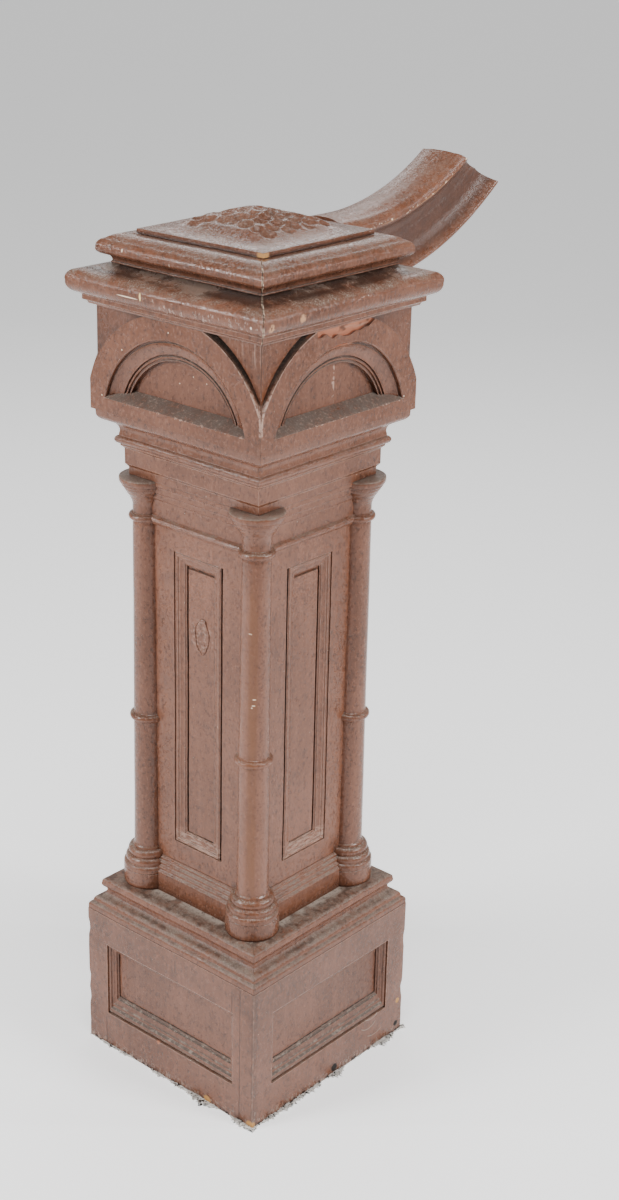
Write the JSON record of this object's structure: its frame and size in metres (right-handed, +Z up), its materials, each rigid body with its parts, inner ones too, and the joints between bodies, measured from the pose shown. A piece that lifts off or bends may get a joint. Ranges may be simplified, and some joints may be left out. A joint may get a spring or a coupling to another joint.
{
  "type": "newel post",
  "caption": "Square painted wooden stair newel with panelled foot, corner colonnettes, arched head, moulded cap with a gouged crown and a stub of rising handrail.",
  "frame": {"origin": "centre of the square underside, on the floor", "axes": "+Z up along the post; the front face looks toward -Y; the handrail leaves the back, toward +Y, and turns upward"},
  "size_m": [0.3126, 0.5821, 1.1553],
  "materials": {
    "plinth": "brown gloss paint over wood, worn, with dust on ledges",
    "plinth_panel_moulding": "brown gloss paint over wood, worn, with dust on ledges",
    "base_moulding": "brown gloss paint over wood, worn, with dust on ledges",
    "shaft": "brown gloss paint over wood, worn, with dust on ledges",
    "shaft_panel_moulding": "brown gloss paint over wood, worn, with dust on ledges",
    "foot_moulding": "brown gloss paint over wood, worn, with dust on ledges",
    "frieze_moulding": "brown gloss paint over wood, worn, with dust on ledges",
    "colonnette": "brown gloss paint over wood, worn, with dust on ledges",
    "fascia": "brown gloss paint over wood, worn, with dust on ledges",
    "bed_moulding": "brown gloss paint over wood, worn, with dust on ledges",
    "arch_block": "brown gloss paint over wood, worn, with dust on ledges",
    "arch_board": "brown gloss paint over wood, worn, with dust on ledges",
    "spandrel": "brown gloss paint over wood, worn, with dust on ledges",
    "cornice": "brown gloss paint over wood, worn, with dust on ledges",
    "cap_moulding": "brown gloss paint over wood, worn, with dust on ledges",
    "cap_plate": "brown gloss paint over wood, worn, with dust on ledges",
    "handrail": "brown gloss paint over wood, worn, with dust on ledges"
  },
  "bodies": {
    "root": {"plinth": "plinth", "plinth_panel_moulding_front": "plinth_panel_moulding", "plinth_panel_moulding_right": "plinth_panel_moulding", "plinth_panel_moulding_back": "plinth_panel_moulding", "plinth_panel_moulding_left": "plinth_panel_moulding", "base_moulding_front": "base_moulding", "base_moulding_right": "base_moulding", "base_moulding_back": "base_moulding", "base_moulding_left": "base_moulding", "shaft": "shaft", "shaft_panel_moulding_front": "shaft_panel_moulding", "shaft_panel_moulding_right": "shaft_panel_moulding", "shaft_panel_moulding_back": "shaft_panel_moulding", "shaft_panel_moulding_left": "shaft_panel_moulding", "foot_moulding_front": "foot_moulding", "foot_moulding_right": "foot_moulding", "foot_moulding_back": "foot_moulding", "foot_moulding_left": "foot_moulding", "frieze_moulding_front": "frieze_moulding", "frieze_moulding_right": "frieze_moulding", "frieze_moulding_back": "frieze_moulding", "frieze_moulding_left": "frieze_moulding", "colonnette_front_right": "colonnette", "colonnette_back_right": "colonnette", "colonnette_back_left": "colonnette", "colonnette_front_left": "colonnette", "fascia": "fascia", "bed_moulding_front": "bed_moulding", "bed_moulding_right": "bed_moulding", "bed_moulding_back": "bed_moulding", "bed_moulding_left": "bed_moulding", "arch_block": "arch_block", "arch_board_front": "arch_board", "arch_board_right": "arch_board", "arch_board_back": "arch_board", "arch_board_left": "arch_board", "spandrel_front_right": "spandrel", "spandrel_front_left": "spandrel", "spandrel_right_back": "spandrel", "spandrel_right_front": "spandrel", "spandrel_back_left": "spandrel", "spandrel_back_right": "spandrel", "spandrel_left_front": "spandrel", "spandrel_left_back": "spandrel", "cornice_front": "cornice", "cornice_right": "cornice", "cornice_back": "cornice", "cornice_left": "cornice", "cap_moulding_front": "cap_moulding", "cap_moulding_right": "cap_moulding", "cap_moulding_back": "cap_moulding", "cap_moulding_left": "cap_moulding", "cap_plate": "cap_plate", "handrail": "handrail"}
  },
  "joints": []
}
